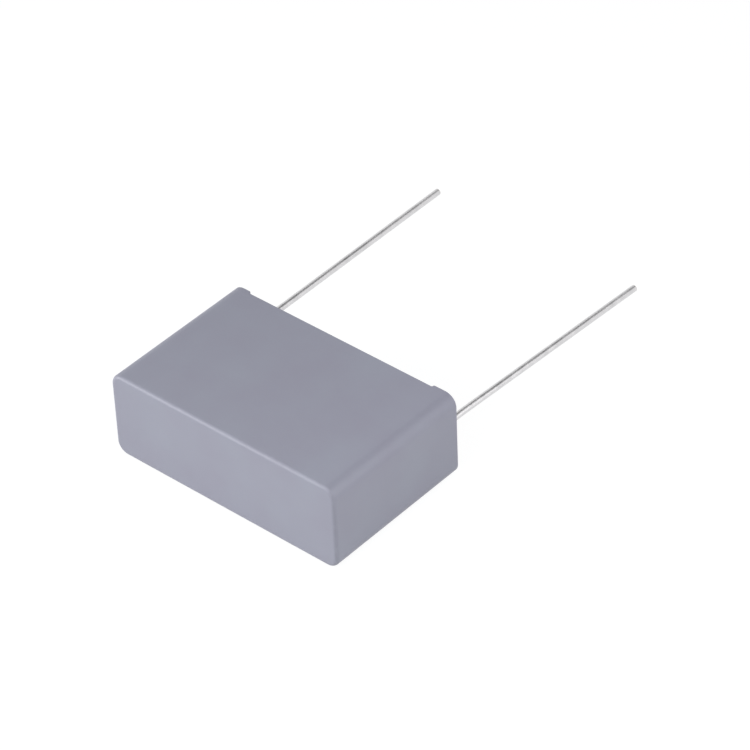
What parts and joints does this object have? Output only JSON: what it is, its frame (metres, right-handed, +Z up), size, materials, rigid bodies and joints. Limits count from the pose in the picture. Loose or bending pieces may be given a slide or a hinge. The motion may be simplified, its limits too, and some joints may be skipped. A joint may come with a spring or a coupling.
{
  "type": "box film capacitor",
  "caption": "Potted rectangular film capacitor in a grey moulded plastic box, with long straight wire leads for a circuit board.",
  "frame": {"origin": "middle of the large case face that the part lies on, halfway between the closed end and the board seat", "axes": "+X along the case from the left lead to the right lead, +Y from the closed end toward the open end and out along the leads, +Z up from the face it lies on"},
  "size_m": [0.032, 0.0526, 0.011],
  "materials": {
    "case_plastic": "smooth, faintly glossy blue-grey moulding",
    "resin": "cast dark grey epoxy, shiny where it was poured",
    "metallised_film": "silvery metallised film, pressed flat",
    "clear_film": "plain plastic film",
    "sprayed_zinc": "rough grey sprayed metal",
    "tinned_wire": "bright tinned wire"
  },
  "bodies": {
    "root": {"case": "case_plastic", "potting_resin": "resin", "film_winding": "metallised_film", "cover_film": "clear_film", "end_spray_left": "sprayed_zinc", "end_spray_right": "sprayed_zinc", "lead_left": "tinned_wire", "lead_right": "tinned_wire"}
  },
  "joints": []
}
